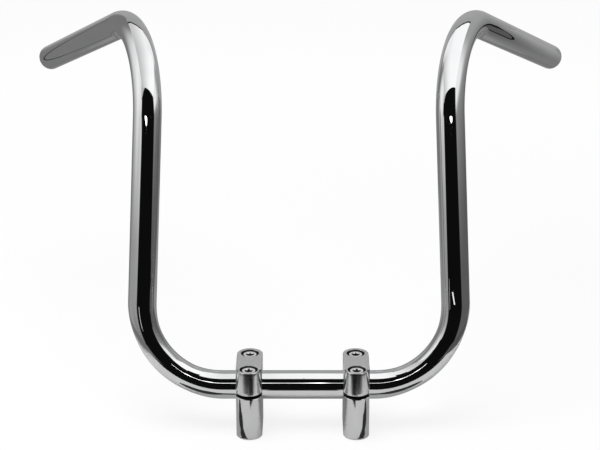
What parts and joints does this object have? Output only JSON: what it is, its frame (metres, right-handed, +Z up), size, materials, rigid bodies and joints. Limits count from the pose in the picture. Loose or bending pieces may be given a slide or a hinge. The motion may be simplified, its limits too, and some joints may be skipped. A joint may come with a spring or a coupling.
{
  "type": "motorcycle handlebar",
  "caption": "Tall chrome handlebar tube with near-upright sides and swept-back grip ends, held in split-clamp alloy risers by socket-head bolts.",
  "frame": {"origin": "midway between the two risers' mounting holes, on the plane of the risers' bases", "axes": "+X towards the rider's left, +Y back towards the rider, +Z up along the risers"},
  "size_m": [0.5548, 0.4185, 0.3458],
  "materials": {
    "chrome_tube": "mirror chrome plate",
    "clamp_alloy": "satin polished",
    "bolt_steel": "bright plated"
  },
  "bodies": {
    "root": {"handlebar_tube": "chrome_tube", "left_riser": "clamp_alloy", "left_clamp_cap": "clamp_alloy", "left_front_bolt": "bolt_steel", "left_rear_bolt": "bolt_steel", "right_riser": "clamp_alloy", "right_clamp_cap": "clamp_alloy", "right_front_bolt": "bolt_steel", "right_rear_bolt": "bolt_steel"}
  },
  "joints": []
}
